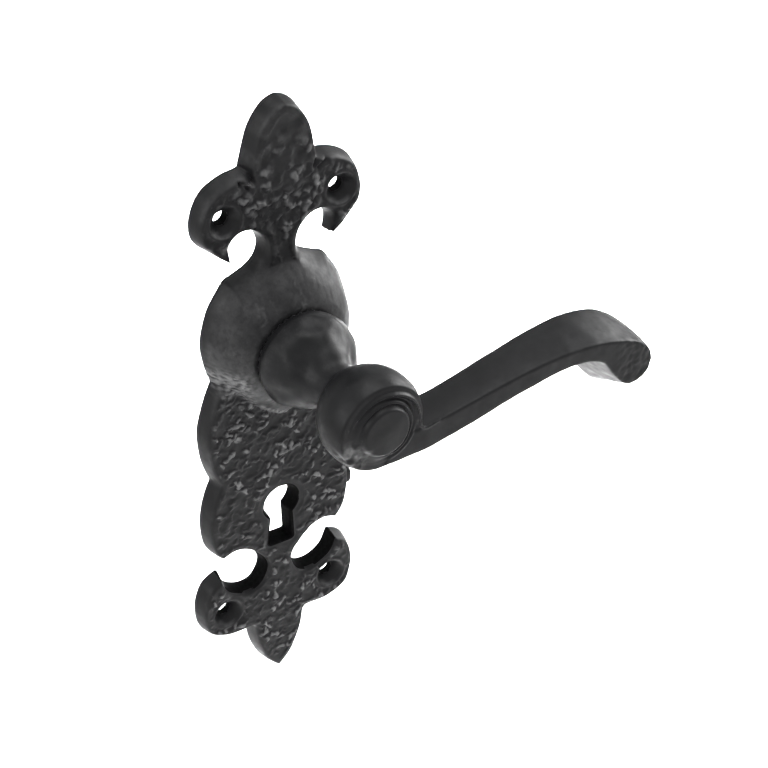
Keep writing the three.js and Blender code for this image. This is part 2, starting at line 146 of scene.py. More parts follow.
def new_object(name, points, faces):
    """An object from points in millimetres, with its faces pointing out."""
    mesh = bpy.data.meshes.new(name)
    mesh.from_pydata([Vector(p) * MM for p in points], [], faces)
    work = bmesh.new()
    work.from_mesh(mesh)
    bmesh.ops.recalc_face_normals(work, faces=work.faces)
    work.to_mesh(mesh)
    work.free()
    obj = bpy.data.objects.new(name, mesh)
    bpy.context.scene.collection.objects.link(obj)
    return obj


def copy_of_node(node, name):
    """A free copy of a CAD node's mesh, welded."""
    obj = bpy.data.objects.new(name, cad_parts[node].data.copy())
    bpy.context.scene.collection.objects.link(obj)
    obj.data.materials.clear()
    weld(obj)
    return obj


def weld(obj):
    """Joins the points that coincide, and turns the faces out."""
    work = bmesh.new()
    work.from_mesh(obj.data)
    bmesh.ops.remove_doubles(work, verts=work.verts, dist=1e-6)
    bmesh.ops.recalc_face_normals(work, faces=work.faces)
    work.to_mesh(obj.data)
    work.free()


def apply_modifier(obj, kind, **settings):
    """Adds a modifier with these settings and makes its result the object's own mesh."""
    modifier = obj.modifiers.new(kind.lower(), kind)
    for key, value in settings.items():
        setattr(modifier, key, value)
    graph = bpy.context.evaluated_depsgraph_get()
    shaped = bpy.data.meshes.new_from_object(obj.evaluated_get(graph))
    obj.modifiers.clear()
    obj.data = shaped


def remesh(obj, voxel):
    apply_modifier(obj, "REMESH", mode="VOXEL", voxel_size=voxel * MM, use_smooth_shade=True)


def cut(obj, *cutters):
    for cutter in cutters:
        apply_modifier(obj, "BOOLEAN", operation="DIFFERENCE", object=cutter, solver="EXACT")
        bpy.data.objects.remove(cutter)


def join(obj, *others):
    work = bmesh.new()
    for part in (obj, *others):
        work.from_mesh(part.data)
    work.to_mesh(obj.data)
    work.free()
    for part in others:
        bpy.data.objects.remove(part)


def get_points(obj):
    values = np.empty(len(obj.data.vertices) * 3, np.float32)
    obj.data.vertices.foreach_get("co", values)
    return values.reshape(-1, 3).astype(float) / MM


def set_points(obj, points):
    obj.data.vertices.foreach_set("co", (points * MM).astype(np.float32).ravel())
    obj.data.update()


def get_normals(obj):
    values = np.empty(len(obj.data.vertices) * 3, np.float32)
    obj.data.vertex_normals.foreach_get("vector", values)
    return values.reshape(-1, 3).astype(float)


def relax(obj, weight, rounds):
    """Moves each point towards the mean of its neighbours, by its weight, and back by a little
    less, so that creases soften and the whole doesn't shrink."""
    edges = np.empty(len(obj.data.edges) * 2, np.int32)
    obj.data.edges.foreach_get("vertices", edges)
    a, b = edges.reshape(-1, 2).T
    points = get_points(obj)
    count = np.bincount(a, minlength=len(points)) + np.bincount(b, minlength=len(points))
    for step in range(rounds * 2):
        total = np.zeros_like(points)
        np.add.at(total, a, points[b])
        np.add.at(total, b, points[a])
        factor = 0.6 if step % 2 == 0 else -0.5
        points += (total / count[:, None] - points) * (weight * factor)[:, None]
    set_points(obj, points)


def smooth_step(low, high, value):
    t = np.clip((value - low) / (high - low), 0, 1)
    return t * t * (3 - 2 * t)


def bell_curve(distance, width):
    """1 in the middle, falling to nothing on both sides."""
    return np.exp(-(distance / width) ** 2)


def noise_at(points, size, offset=0.0):
    """Perlin noise, with features about `size` millimetres wide."""
    shift = Vector((offset, offset, offset))
    return np.array([noise.noise(Vector((*p, 0)[:3]) / size + shift) for p in points])


def store(obj, name, values):
    attribute = obj.data.attributes.new(name, "FLOAT", "POINT")
    attribute.data.foreach_set("value", values.astype(np.float32))


def pin_place(name):
    """Where a CAD pin stands, as (x, z)."""
    low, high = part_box(name)
    return (low[0] + high[0]) / 2 / MM, (low[2] + high[2]) / 2 / MM


def polar(radius, degrees):
    angle = math.radians(degrees)
    return radius * math.cos(angle), radius * math.sin(angle)


def turned(name, profile, segments=144):
    """A round solid about the Y axis from a profile of (radius, depth), with ends on the axis."""
    points = []
    rings = []
    for radius, depth in profile:
        if radius == 0:
            rings.append([len(points)])
            points.append((0, -depth, 0))
            continue
        rings.append(list(range(len(points), len(points) + segments)))
        for i in range(segments):
            x, z = polar(radius, 360 * i / segments)
            points.append((x, -depth, z))
    return new_object(name, points, ring_faces(rings))


def ring_faces(rings):
    faces = []
    for low, high in zip(rings, rings[1:]):
        n = max(len(low), len(high))
        for i in range(n):
            corners = [low[i % len(low)], low[(i + 1) % len(low)],
                       high[(i + 1) % len(high)], high[i % len(high)]]
            faces.append(list(dict.fromkeys(corners)))
    return faces


def curve_through(points, steps):
    """A smooth curve through points of any dimension, with `steps` samples for each stretch."""
    p = np.array(points, float)
    p = np.vstack([2 * p[0] - p[1], p, 2 * p[-1] - p[-2]])
    samples = []
    for k in range(1, len(p) - 2):
        for t in np.arange(steps) / steps:
            samples.append(0.5 * (2 * p[k] + (p[k + 1] - p[k - 1]) * t
                                  + (2 * p[k - 1] - 5 * p[k] + 4 * p[k + 1] - p[k + 2]) * t ** 2
                                  + (3 * p[k] - p[k - 1] - 3 * p[k + 1] + p[k + 2]) * t ** 3))
    samples.append(p[-2])
    return np.array(samples)


def tube(name, path, radii, sides=16):
    """A round bar along a path, with a radius at each of its points, closed at both ends."""
    path = [Vector(p) for p in path]
    points = []
    rings = []
    across = None
    for i, centre in enumerate(path):
        along = (path[min(i + 1, len(path) - 1)] - path[max(i - 1, 0)]).normalized()
        across = along.orthogonal() if across is None else across - along * across.dot(along)
        across.normalize()
        side = along.cross(across)
        rings.append(list(range(len(points), len(points) + sides)))
        for k in range(sides):
            c, s = polar(radii[i], 360 * k / sides)
            points.append(centre + across * c + side * s)
    points += [path[0], path[-1]]
    closed = [[len(points) - 2], *rings, [len(points) - 1]]
    return new_object(name, points, ring_faces(closed))


def block(name, low, high):
    x0, y0, z0 = low
    x1, y1, z1 = high
    points = [(x, y, z) for x in (x0, x1) for y in (y0, y1) for z in (z0, z1)]
    faces = [(0, 1, 3, 2), (4, 6, 7, 5), (0, 4, 5, 1), (2, 3, 7, 6), (0, 2, 6, 4), (1, 5, 7, 3)]
    return new_object(name, points, faces)


# ---------------------------------------------------------------- backplate casting

def boundary_loops(node_name, depth):
    """The closed loops of (x, z) points round a CAD node's flat faces at one depth."""
    source = copy_of_node(node_name, "source")
    work = bmesh.new()
    work.from_mesh(source.data)
    bpy.data.objects.remove(source)
    flat = [f for f in work.faces if all(abs(-v.co.y / MM - depth) < 0.01 for v in f.verts)]
    is_flat = set(flat)
    follows = {}
    # The faces are walked in the list's order, so that the loops start at the same points each run.
    for face in flat:
        for edge_loop in face.loops:
            if sum(other in is_flat for other in edge_loop.edge.link_faces) == 1:
                follows[edge_loop.vert] = edge_loop.link_loop_next.vert
    loops = []
    while follows:
        first, step = follows.popitem()
        walk = [first]
        while step in follows:
            walk.append(step)
            step = follows.pop(step)
        loops.append(np.array([(v.co.x / MM, v.co.z / MM) for v in walk]))
    work.free()
    return loops


def area_of(loop):
    x, z = loop.T
    return 0.5 * np.sum(x * np.roll(z, -1) - z * np.roll(x, -1))


def fine_loop(loop, spacing, hole=False):
    """A closed curve through a coarse loop. It keeps the sharp corners, a little softened,
    and runs with the casting on its left."""
    if (area_of(loop) > 0) == hole:
        loop = loop[::-1]
    ahead = np.roll(loop, -1, axis=0) - loop
    turn = np.degrees(np.abs(np.angle(
        (ahead @ (1, 1j)) / (np.roll(ahead, 1, axis=0) @ (1, 1j)))))
    corners = list(np.where(turn > 48)[0]) or [0]
    stretches = []
    for start, end in zip(corners, corners[1:] + [corners[0] + len(loop)]):
        rows = [i % len(loop) for i in range(start, end + 1)]
        stretches.append(curve_through(loop[rows], 12)[:-1])
    dense = np.vstack(stretches)
    dense = np.vstack([dense, dense[:1]])
    length = np.concatenate([[0], np.cumsum(np.hypot(*np.diff(dense, axis=0).T))])
    count = int(round(length[-1] / spacing))
    places = np.arange(count) * length[-1] / count
    even = np.stack([np.interp(places, length, dense[:, k]) for k in (0, 1)], axis=1)
    for _ in range(3):
        even = 0.5 * even + 0.25 * (np.roll(even, 1, axis=0) + np.roll(even, -1, axis=0))
    return even


def circle(x, z, radius, spacing):
    count = int(round(2 * math.pi * radius / spacing))
    return np.array([(x + a, z + b) for a, b in
                     (polar(radius, -360 * i / count) for i in range(count))])


class Border:
    """Finds how far places are from a set of closed loops, and on which side."""

    def __init__(self, loops):
        self.start = np.vstack(loops)
        self.end = np.vstack([np.roll(loop, -1, axis=0) for loop in loops])
        offset = 0
        self.before = []
        for loop in loops:
            rows = np.arange(len(loop)) + offset
            self.before += list(np.roll(rows, 1))
            offset += len(loop)
        self.before = np.array(self.before)
        self.tree = kdtree.KDTree(len(self.start))
        for i, (x, z) in enumerate(self.start):
            self.tree.insert((x, z, 0), i)
        self.tree.balance()

    def distance(self, places):
        """Positive inside the casting, negative outside."""
        near = np.array([self.tree.find((x, z, 0))[1] for x, z in places])
        best = np.full(len(places), 1e9)
        side = np.ones(len(places))
        for rows in (near, self.before[near]):
            start, line = self.start[rows], self.end[rows] - self.start[rows]
            t = np.sum((places - start) * line, axis=1) / np.sum(line * line, axis=1)
            foot = start + np.clip(t, 0, 1)[:, None] * line
            gap = places - foot
            distance = np.hypot(*gap.T)
            closer = distance < best
            left = line[:, 0] * gap[:, 1] - line[:, 1] * gap[:, 0] >= 0
            side[closer] = np.where(left[closer], 1, -1)
            best[closer] = distance[closer]
        return best * side


def inset(loop, distance):
    """The loop's points moved into the casting."""
    ahead = np.roll(loop, -1, axis=0) - np.roll(loop, 1, axis=0)
    normal = np.stack([-ahead[:, 1], ahead[:, 0]], axis=1)
    return loop + distance * normal / np.hypot(*normal.T)[:, None]


def fill(loops, free=()):
    """Triangles between closed loops, through the free points. Returns (x, z) points, which
    start with the loops' own, and the triangles."""
    places = [Vector(p) for loop in loops for p in loop] + [Vector(p) for p in free]
    edges = []
    offset = 0
    for loop in loops:
        edges += [(offset + i, offset + (i + 1) % len(loop)) for i in range(len(loop))]
        offset += len(loop)
    made, _, triangles, _, _, _ = geometry.delaunay_2d_cdt(places, edges, [], 1, 1e-7)
    made = np.array(made)
    border = Border(loops)
    triangles = np.array(triangles)
    inside = border.distance(made[triangles].mean(axis=1)) > 0
    return made, triangles[inside]


def staggered_grid(low, high, spacing):
    rows = np.arange(low[1], high[1], spacing * 0.866)
    columns = np.arange(low[0], high[0], spacing)
    return np.array([(x + spacing / 2 * (i % 2), z) for i, z in enumerate(rows) for x in columns])


def smooth_max(a, b, blend):
    h = np.clip(blend - np.abs(a - b), 0, None) / blend
    return np.maximum(a, b) + h * h * blend / 4


def lean_edges(front, distance, x, z):
    """Lets the walls lean in towards the front, and rounds the edge between them."""
    upper = smooth_step(26, 40, z)
    tip = smooth_step(50, 62, z)
    by_boss = smooth_step(6, 0, np.hypot(x, z - BOSS_RISE) - BOSS_RADIUS)
    by_keyhole = smooth_step(13, 10.5, np.hypot(x, 0.8 * (z - KEY_CENTRE_Z + 4)))
    prongs = smooth_step(34, 30, z) * smooth_step(22, 25, z) * smooth_step(8, 11, np.abs(x))
    draft = DRAFT * (1 + 0.15 * upper - 0.3 * tip + 0.5 * by_boss - 0.6 * by_keyhole - 0.6 * prongs)
    blend = EDGE_BLEND * (1 + 0.9 * by_boss - 0.25 * tip - 0.4 * by_keyhole - 0.4 * prongs)
    leaning = WALL_FOOT + (PLATE_DEPTH - WALL_FOOT) * distance / draft
    return -smooth_max(-front, -leaning, blend)


def boss_reach(x, z):
    """The radius of the boss's foot. It is round above, and comes to a blunt point below."""
    pointed = np.interp(np.abs(x), *zip(*BOSS_FOOT))
    return BOSS_RADIUS + (pointed - BOSS_RADIUS) * smooth_step(3, -6, z)


def boss_depth(x, z):
    """A convex boss with a flat seat. Its foot is centred a little above the seat."""
    profile = curve_through(BOSS_PROFILE, 10).T
    foot = BOSS_RADIUS / boss_reach(x, z)
    depth = np.full(len(x), 9.0)
    for _ in range(8):
        rise = BOSS_RISE * (SEAT_DEPTH - depth) / SEAT_DEPTH
        radius = np.hypot(x, z - rise)
        radius *= 1 + (foot - 1) * smooth_step(SEAT_DEPTH - 1, 6, depth)
        depth = 0.5 * depth + 0.5 * np.interp(radius, *profile)
    return depth


def petal_rise(x, z):
    """The middle petal of the upper fleur swells, and sinks away below the side petals."""
    across = 1 - (x / 12.5) ** 2
    return PETAL_RISE * np.clip(across, 0, 1) * smooth_step(40, 50, z + 0.25 * np.abs(x))


def countersinks(x, z):
    """Cones with a raised rim. The two lower ones are deeper and lie in a shallow dish."""
    radius = min_distance(x, z, SCREWS)
    lower = smooth_step(-80, -86, z)
    inwards = np.clip((SCREW_SINK_RADIUS - radius) / (SCREW_SINK_RADIUS - SCREW_RADIUS), 0, 1)
    cone = -(SCREW_SINK_DEPTH + 0.4 * lower) * inwards ** 1.2
    rim = 0.4 * bell_curve(radius - SCREW_SINK_RADIUS - 0.5, 0.6)
    dish = -0.6 * smooth_step(8.5, 5, radius) * lower
    return cone + rim + dish


def min_distance(x, z, places):
    return np.min([np.hypot(x - px, z - pz) for px, pz in places], axis=0)


def worms(places, seed, spacing, length, width, height):
    """The tops of short raised worms scattered over the casting, each at its own slant."""
    rng = random.Random(seed)
    relief = np.zeros(len(places))
    warp = [noise_at(places, 1.7, 40.0 + seed + shift) for shift in (0, 9)]
    places = places + 0.8 * np.stack(warp, axis=1)
    tree = kdtree.KDTree(len(places))
    for i, (x, z) in enumerate(places):
        tree.insert((x, z, 0), i)
    tree.balance()
    for row in np.arange(-122, 74, spacing):
        for column in np.arange(-28, 28, spacing):
            cx = column + rng.uniform(-0.6, 0.6) * spacing
            cz = row + rng.uniform(-0.6, 0.6) * spacing
            slant = rng.uniform(0, math.pi)
            reach = rng.uniform(*length) / 2
            bend = rng.uniform(-0.5, 0.5)
            top = rng.uniform(*height)
            thick = rng.uniform(*width)
            rows = [hit[1] for hit in tree.find_range((cx, cz, 0), reach + 2 * thick)]
            if not rows:
                continue
            dx, dz = (places[rows] - (cx, cz)).T
            along = dx * math.cos(slant) + dz * math.sin(slant)
            across = dz * math.cos(slant) - dx * math.sin(slant) - bend * along ** 2 / (reach + 1)
            past = np.maximum(np.abs(along) - reach, 0)
            ridge = top * np.exp(-((across ** 2 + past ** 2) / thick ** 2) ** 1.2)
            relief[rows] = np.maximum(relief[rows], ridge)
    return relief


def groove(places, start, end, radius, depth):
    """A short soft pocket between two places."""
    line = np.array(end) - start
    t = np.clip(((places - start) @ line) / (line @ line), 0, 1)
    distance = np.hypot(*(places - start - t[:, None] * line).T)
    return -depth * bell_curve(distance, radius)


def cast_relief(places, edge):
    """The lumpy cast surface of the plate's front: its height above the plain shape, and how far
    its colour is lightened to grey by painted highlights. The edge is the distance to the outline or
    the keyhole."""
    x, z = places.T
    from_boss = np.hypot(x, z - BOSS_RISE) - boss_reach(x, z)
    lobes = smooth_step(-1.5, 1.5, from_boss)
    band = smooth_step(1.1, 3.2, edge + noise_at(places, 4, 2.0) * 0.8)
    eyes = smooth_step(0.3, 2.2, min_distance(x, z, SCREWS) - SCREW_SINK_RADIUS)
    keyhole = smooth_step(0.5, 3.5, np.hypot(x, z - KEY_CENTRE_Z) - 6.5)
    calm_tips = smooth_step(66, 56, z) * smooth_step(-121, -108, z)
    calm_neck = 1 - 0.7 * smooth_step(33, 29, z) * smooth_step(18, 22, z)
    below = smooth_step(10, 0, z)
    patches = smooth_step(-0.35, 0.1, noise_at(places, 7, 4.0))
    where = lobes * band * eyes * keyhole * calm_tips * calm_neck
    fine = worms(places, 7, 2.45, (0.3, 2.6), (0.45, 0.78), (0.15, 0.8))
    lumps = worms(places, 11, 3.4, (0.2, 2.2), (0.8, 1.4), (0.2, 0.95))
    dents = worms(places, 3, 4.5, (0.2, 2.5), (1.0, 1.6), (0.2, 0.5))
    fine *= 0.45 + 0.55 * patches
    fine *= below + 0.65 * (1 - below) * smooth_step(54, 47, z)
    hammered = fine + lumps * (1 - 0.75 * below) - 0.4 * dents
    # Painted highlights: the tops of the worms and lumps are lightened to grey, standing in for glints
    # of light.
    painted_highlight = 1.1 * smooth_step(0.25, 0.65, fine) + 0.65 * smooth_step(0.3, 0.95, lumps) * (1 - below)
    inner_ridge = 0.22 * bell_curve(edge - 2.7, 0.55) * lobes
    inner_ridge *= smooth_step(-0.3, 0.3, noise_at(places, 9))
    on_petal = smooth_step(42, 48, z) * smooth_step(66, 60, z)
    inner_ridge += 0.25 * bell_curve(edge - 1.7, 0.45) * on_petal
    swell = 0.25 * noise_at(places, 9, 1.0) + 0.07 * noise_at(places, 2.2, 6.0)
    petal = smooth_step(44, 54, z)
    swell += 0.4 * noise_at(places, 4, 33.0) * petal
    pockets = np.zeros(len(places))
    for side in (-1, 1):
        deep = 1.0 if side < 0 else 0.6
        pockets += groove(places, (side * 10.3, 53.6), (side * 9.2, 50.6), 0.75, 2.1 * deep)
        pockets += groove(places, (side * 13.0, 51.2), (side * 10.6, 49.8), 0.65, 1.7 * deep)
    # A rough patch of relief on the boss's lower left and beside it, which also carries a painted
    # highlight: its colour is lightened to grey.
    scar_and_highlight = bell_curve(from_boss + 0.6, 1.1) * smooth_step(-4, -12, z) * smooth_step(4, -3, x)
    scar_and_highlight += bell_curve(np.hypot((x + 18) / 3.6, (z + 7.5) / 3.4), 1)
    scar_and_highlight = np.clip(1.5 * scar_and_highlight, 0, 1) * smooth_step(-0.3, 0.25, noise_at(places, 0.9, 8.0))
    streaks = 0.05 * noise_at(places * (1, 0.4), 1.2, 12.0) * (1 - lobes)
    swirls = worms(places, 19, 2.6, (0.8, 3.4), (0.3, 0.45), (0.05, 0.16)) * (1 - lobes)
    swirls *= smooth_step(0.0, 0.35, noise_at(places, 6, 21.0)) * smooth_step(-3, -5, from_boss)
    swirls *= smooth_step(9, 2, x)
    lift = hammered * where + inner_ridge + swell * smooth_step(0, 2.5, edge) + pockets
    lift += 0.4 * scar_and_highlight + streaks + swirls
    # Painted sheen: the colour is lightened on the boss, more towards its bottom, on the swirls, on
    # the upper petal, along the edges and on the countersinks' rims.
    painted_sheen = (0.13 + 0.07 * smooth_step(10, -6, z)) * (1 - lobes) * (1 + noise_at(places, 5, 14.0))
    painted_sheen += 1.8 * swirls + 0.09 * petal * smooth_step(-0.3, 0.4, noise_at(places, 3.5, 37.0))
    painted_sheen += 0.16 * bell_curve(edge - 1.0, 0.35) * smooth_step(-0.2, 0.5, noise_at(places, 6, 27.0))
    rims = bell_curve(min_distance(x, z, SCREWS) - SCREW_SINK_RADIUS, 0.4)
    painted_sheen += 0.4 * rims * smooth_step(-0.1, 0.4, noise_at(places, 5, 31.0))
    return lift, np.clip(painted_highlight * where + scar_and_highlight + painted_sheen, 0, 1)


def front_surface(outline, keyhole, holes, bore):
    """Points and triangles of the plate's whole front."""
    edge = Border([outline, keyhole])
    border = Border([outline, keyhole, *holes, bore])
    free = []
    for loop in (outline, keyhole, *holes, bore):
        for distance in EDGE_RINGS:
            ring = inset(loop, distance)
            free.append(ring[border.distance(ring) > distance * 0.97])
    free = thin_out(np.vstack(free), 0.1)
    grid = staggered_grid(outline.min(axis=0), outline.max(axis=0), GRID)
    grid = grid[border.distance(grid) > EDGE_RINGS[-1] + 0.6 * GRID]
    places, triangles = fill([outline, keyhole, *holes, bore], np.vstack([free, grid]))
    distance = np.clip(edge.distance(places), 0, None)
    x, z = places.T
    plain = smooth_max(PLATE_DEPTH + petal_rise(x, z), boss_depth(x, z), 3.0)
    plain += countersinks(x, z)
    plain = lean_edges(plain, distance, x, z)
    lift, painted_highlight = cast_relief(places, distance)
    depth = plain + lift * smooth_step(SEAT_DEPTH, SEAT_DEPTH - 1.5, plain)
    low, high = (np.array(corner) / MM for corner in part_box("backplate"))
    points = np.clip(np.stack([x, -depth, z], axis=1), low, high)
    return points, triangles, painted_highlight, distance


def thin_out(places, spacing):
    """Drops places that crowd closer than the spacing."""
    cells = np.round(places / spacing).astype(int)
    _, keep = np.unique(cells, axis=0, return_index=True)
    return places[np.sort(keep)]


def wall(loop, from_depths, to_depth, rows):
    """A wall behind a loop, from its front depths back to one depth."""
    count = len(loop)
    points = []
    faces = []
    for row in range(rows + 1):
        depths = from_depths + (to_depth - from_depths) * row / rows
        points += [(x, -depth, z) for (x, z), depth in zip(loop, depths)]
    for row in range(rows):
        for i in range(count):
            j = (i + 1) % count
            near, far = row * count, (row + 1) * count
            faces.append([near + i, near + j, far + j, far + i])
    return points, faces


def lump(centre, half):
    """A rounded lump, such as a casting gate leaves. Centre and half sizes are (x, depth, z)."""
    points = []
    rings = []
    for tilt in range(-90, 91, 15):
        ring = 1 if abs(tilt) == 90 else 24
        rings.append(list(range(len(points), len(points) + ring)))
        for i in range(ring):
            flat, rise = polar(1, tilt)
            a, b = polar(flat, 360 * i / ring)
            shape = [math.copysign(abs(v) ** 0.6, v) for v in (a, b, rise)]
            x, depth, z = (c + h * s for c, h, s in zip(centre, half, shape))
            points.append((x, -depth, z))
    return points, ring_faces(rings)


def cast_backplate():
    """The plate as one mesh: its front, the walls behind each edge, its flat back and cavity."""
    loops = sorted(boundary_loops("backplate", 0), key=lambda loop: -abs(area_of(loop)))
    low, high = (np.array(corner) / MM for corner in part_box("backplate"))
    outline = np.clip(fine_loop(loops[0], LOOP_STEP), low[[0, 2]], high[[0, 2]])
    keyhole = next(loop for loop in loops[1:] if abs(loop[:, 1].mean() - KEY_CENTRE_Z) < 8)
    keyhole = fine_loop(keyhole, LOOP_STEP, True)
    holes = [circle(x, z, SCREW_RADIUS, 0.3) for x, z in SCREWS]
    bore = circle(0, 0, BORE_RADIUS, 0.6)
    cavity = circle(0, 0, CAVITY_RADIUS, 0.8)
    sockets = [circle(*pin_place(name), PIN_RADIUS + 0.3, 0.4) for name in PINS]

    shells = []
    points, triangles, painted_highlight, distance = front_surface(outline, keyhole, holes, bore)
    shells.append((points, triangles))
    offset = 0
    for loop in (outline, keyhole, *holes, bore):
        back_depth = CAVITY_DEPTH if loop is bore else 0
        front_depths = -points[offset:offset + len(loop), 1]
        shells.append(wall(loop, front_depths, back_depth, 6))
        offset += len(loop)
    back = [outline, keyhole, *holes, cavity]
    cavity_floor = [cavity[::-1], bore, *sockets]
    for loops, depth in ((back, 0), (cavity_floor, CAVITY_DEPTH)):
        places, triangles = fill(loops)
        shells.append(([(x, -depth, z) for x, z in places], triangles))
    shells.append(wall(cavity, np.zeros(len(cavity)), CAVITY_DEPTH, 4))
    for socket in sockets:
        floor_depth = CAVITY_DEPTH + SOCKET_SINK
        shells.append(wall(socket, np.full(len(socket), CAVITY_DEPTH), floor_depth, 2))
        places, triangles = fill([socket[::-1]])
        shells.append(([(x, -floor_depth, z) for x, z in places], triangles))

    shells.append(lump(EDGE_LUMP_PLACE, EDGE_LUMP_HALF))

    all_points, all_faces = [], []
    for shell_points, shell_faces in shells:
        start = len(all_points)
        all_points += [tuple(p) for p in shell_points]
        all_faces += [[start + int(i) for i in face] for face in shell_faces]
    obj = new_object("backplate_casting", all_points, all_faces)
    # The painted highlights, kept for the front's points.
    shades = np.zeros(len(all_points))
    shades[:len(painted_highlight)] = painted_highlight
    store(obj, "painted_highlight", shades)
    inward = np.zeros(len(all_points))
    inward[:len(distance)] = distance
    store(obj, "inward", inward)
    weld(obj)
    return obj


def mark_recesses(obj):
    """Gives the second material, which paints shade, to the walls of the holes, the keyhole and the
    lower notches.
    """
    inward = np.empty(len(obj.data.vertices), np.float32)
    obj.data.attributes["inward"].data.foreach_get("value", inward)
    for face in obj.data.polygons:
        x, depth, z = face.center.x / MM, -face.center.y / MM, face.center.z / MM
        if depth < 0.01 or depth > PLATE_DEPTH + 1 or inward[list(face.vertices)].max() > RECESS_REACH:
            continue
        in_hole = min(math.hypot(x - px, z - pz) for px, pz in SCREWS) < SCREW_RADIUS + 0.2
        in_keyhole = abs(x) < 6 and -72 < z < -51
        in_notch = -86.5 < z < -69.5 and abs(x) < 19.6
        if in_hole or in_keyhole or in_notch:
            face.material_index = 1


# ---------------------------------------------------------------- lever casting

# One row for each station from the hub to the tip of the curl: the arm's front top, front
# bottom, rear top and rear bottom edges as (x, z), and the rear edges' depth.
ARM_FRONT_DEPTH = 55
ARM_STATIONS = [
    ((5, -4.4), (1, -12.6), (5, -4.4), (1, -11), 42),
    ((15, -4.1), (13.5, -12), (15.5, -4.3), (13.5, -11.2), 42),
    ((28, -1.9), (27, -9.5), (28, -2), (27, -9.2), 42),
    ((42, 0.6), (43, -5.6), (41.5, 1), (43, -5.5), 41.4),
    ((55, 2.2), (57.3, -3.1), (54, 3.5), (57.5, -2.8), 40.7),
    ((67, 2.2), (66.5, -2.9), (67, 4.7), (66.5, -3.3), 39.9),
    ((77.5, 0.4), (72.5, -4.9), (79.5, 2.5), (70.5, -7.6), 39.5),
    ((86.2, -2.9), (75.6, -8.2), (89.5, -4.5), (73.5, -12.8), 39.5),
    ((90.6, -8.2), (78.3, -11.7), (95, -11.5), (77.5, -17.7), 39.5),
    ((89.7, -13.4), (80.8, -14.4), (95, -18.5), (81.5, -21.8), 39.5),
    ((86.6, -15.7), (83.8, -16), (91, -23.6), (86, -24.4), 39.5),
]


def arm_rail(edge):
    """A smooth line along one of the arm's four edges."""
    points = []
    for station in ARM_STATIONS:
        x, z = station[edge]
        depth = ARM_FRONT_DEPTH if edge < 2 else station[4]
        points.append((x, -depth, z))
    return curve_through(points, 14)


def arm_section(width, height):
    """The arm's section as (back, up) from -1 to 1: crisp front edges, a soft rear and a crown."""
    outline = []
    corners = [(-1, -1, 0.7, 180), (1, -1, 1.4, 270), (1, 1, 1.4, 0), (-1, 1, 0.5, 90)]
    for side, level, radius, first in corners:
        across = min(2 * radius / width, 0.9)
        upright = min(2 * radius / height, 0.9)
        for step in range(6):
            c, s = polar(1, first + 90 * step / 5)
            outline.append((side * (1 - across) + c * across, level * (1 - upright) + s * upright))
        if side == 1 and level == 1:
            flat = 1 - across
            outline += [(flat * k / 5, 1) for k in range(4, -5, -1)]
    crown = 1.2 / height
    return [(back, up + (crown * (1 - back ** 2) if up > 0.5 else 0)) for back, up in outline]


def arm():
    """The arm, lofted through its sections from the hub to the curl's tip."""
    front_top, front_bottom, rear_top, rear_bottom = (arm_rail(edge) for edge in range(4))
    points = []
    rings = []
    for ft, fb, rt, rb in zip(front_top, front_bottom, rear_top, rear_bottom):
        section = arm_section(np.linalg.norm(rt - ft), np.linalg.norm((ft + rt - fb - rb) / 2))
        rings.append(list(range(len(points), len(points) + len(section))))
        for back, up in section:
            lower = fb + (rb - fb) * (back + 1) / 2
            upper = ft + (rt - ft) * (back + 1) / 2
            points.append(lower + (upper - lower) * (up + 1) / 2)
    for ring in (rings[0], rings[-1]):
        points.append(np.mean([points[i] for i in ring], axis=0))
    return new_object("arm", points, ring_faces([[len(points) - 2], *rings, [len(points) - 1]]))


def hub():
    """Bell, neck, ball and stepped face, turned in one profile."""
    bell = curve_through([*BELL_PROFILE, (NECK_RADIUS, NECK_DEPTH)], 8)
    start = math.degrees(math.asin((NECK_DEPTH + 1.6 - BALL_DEPTH) / BALL_RADIUS))
    end = math.degrees(math.asin((FACE_DEPTH - 0.6 - BALL_DEPTH) / BALL_RADIUS))
    ball = []
    for step in range(41):
        across, out = polar(BALL_RADIUS, start + (end - start) * step / 40)
        ball.append((across, BALL_DEPTH + out))
    return turned("hub", [(0, BELL_FOOT_DEPTH), *map(tuple, bell), *ball, (0, FACE_DEPTH)])


def step_face(obj):
    """Raises the ball's front face into a disc with two steps round it, which fade away at the
    lower left."""
    work = bmesh.new()
    work.from_mesh(obj.data)
    front = [f for f in work.faces if -f.calc_center_median().y / MM > FACE_DEPTH - 0.9
             and math.hypot(f.calc_center_median().x, f.calc_center_median().z) / MM < 11.6]
    edges = list({edge for face in front for edge in face.edges})
    bmesh.ops.subdivide_edges(work, edges=edges, cuts=1, use_grid_fill=True)
    work.to_mesh(obj.data)
    work.free()
    points = get_points(obj)
    radius = np.hypot(points[:, 0], points[:, 2])
    turn = np.cos(np.arctan2(points[:, 2], points[:, 0]) - math.radians(FADE_ANGLE))
    faded = smooth_step(-0.1, 0.9, turn)
    bold = np.interp(radius, *zip(*FACE_STEPS))
    plain = np.interp(radius, *zip(*FADED_STEPS))
    front = smooth_step(FACE_DEPTH - 0.9, FACE_DEPTH - 0.4, -points[:, 1])
    points[:, 1] -= front * (bold + (plain - bold) * faded)
    set_points(obj, points)


def rough_patch(points):
    """How rough the casting is: at the ball's lower left, where the steps fade."""
    return smooth_step(7, 1.5, np.linalg.norm(points - ROUGH_PATCH_CENTRE, axis=1))


